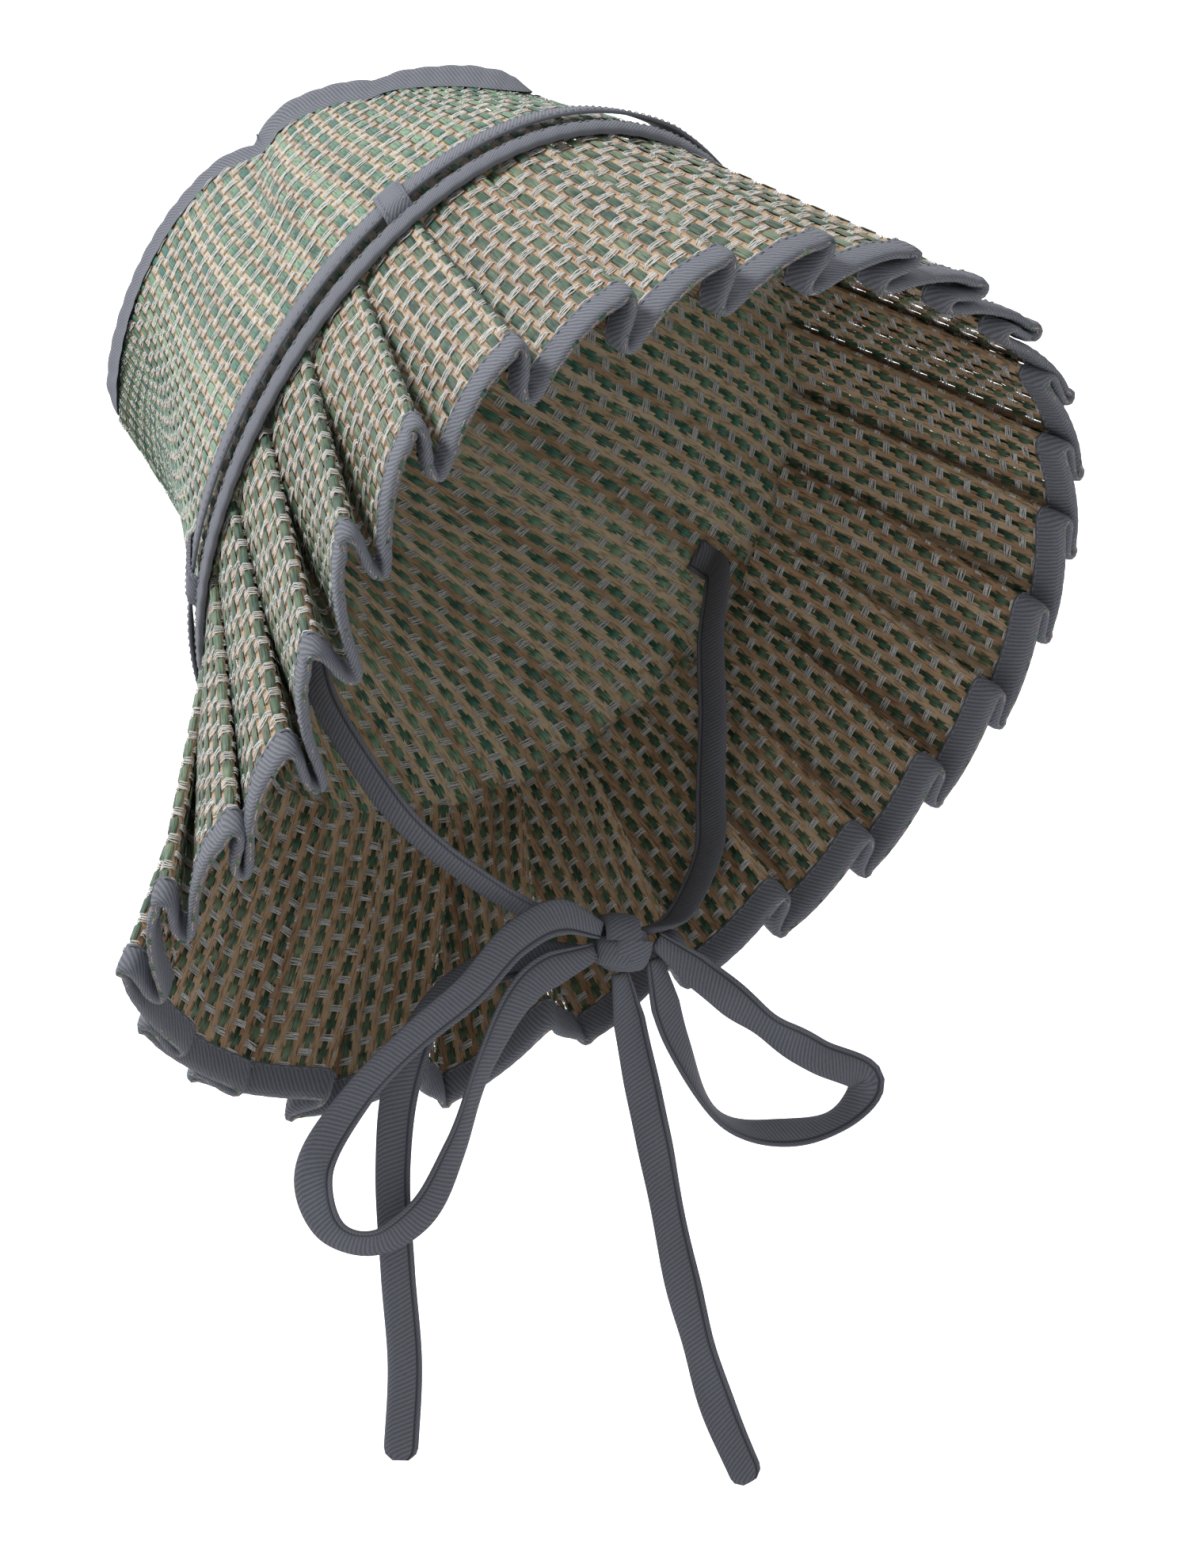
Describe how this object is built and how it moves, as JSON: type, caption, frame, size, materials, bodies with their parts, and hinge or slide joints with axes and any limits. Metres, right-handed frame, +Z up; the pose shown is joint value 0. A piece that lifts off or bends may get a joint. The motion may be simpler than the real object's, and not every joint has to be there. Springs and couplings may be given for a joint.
{
  "type": "pleated sun hat",
  "caption": "Pleated woven straw sun hat with pinched crown, flared pleated brim, fabric bindings, band tape and long ribbon ties in a bow.",
  "frame": {"origin": "centre of the head opening, where the hat sits on the head", "axes": "+Z up as worn, front towards -Y, wearer's left towards +X; the hat is worn tilted back, so its crown points up and back"},
  "size_m": [0.2218, 0.2672, 0.3688],
  "materials": {
    "straw": "woven straw strips in dull green and tan with pale weft yarns",
    "twill": "grey twill tape, matt",
    "ribbon": "dark grey folded twill ribbon, matt"
  },
  "bodies": {
    "root": {"crown": "straw", "crown_seam_binding": "twill", "brim": "straw", "brim_edge_binding": "twill", "brim_seam_binding": "twill", "band_tape": "twill", "band_loop_1": "twill", "band_loop_2": "twill", "band_loop_3": "twill", "band_loop_4": "twill", "strap_right": "ribbon", "strap_left": "ribbon", "knot": "ribbon", "bow_loop_right": "ribbon", "bow_loop_left": "ribbon", "tail_right": "ribbon", "tail_left": "ribbon"}
  },
  "joints": []
}
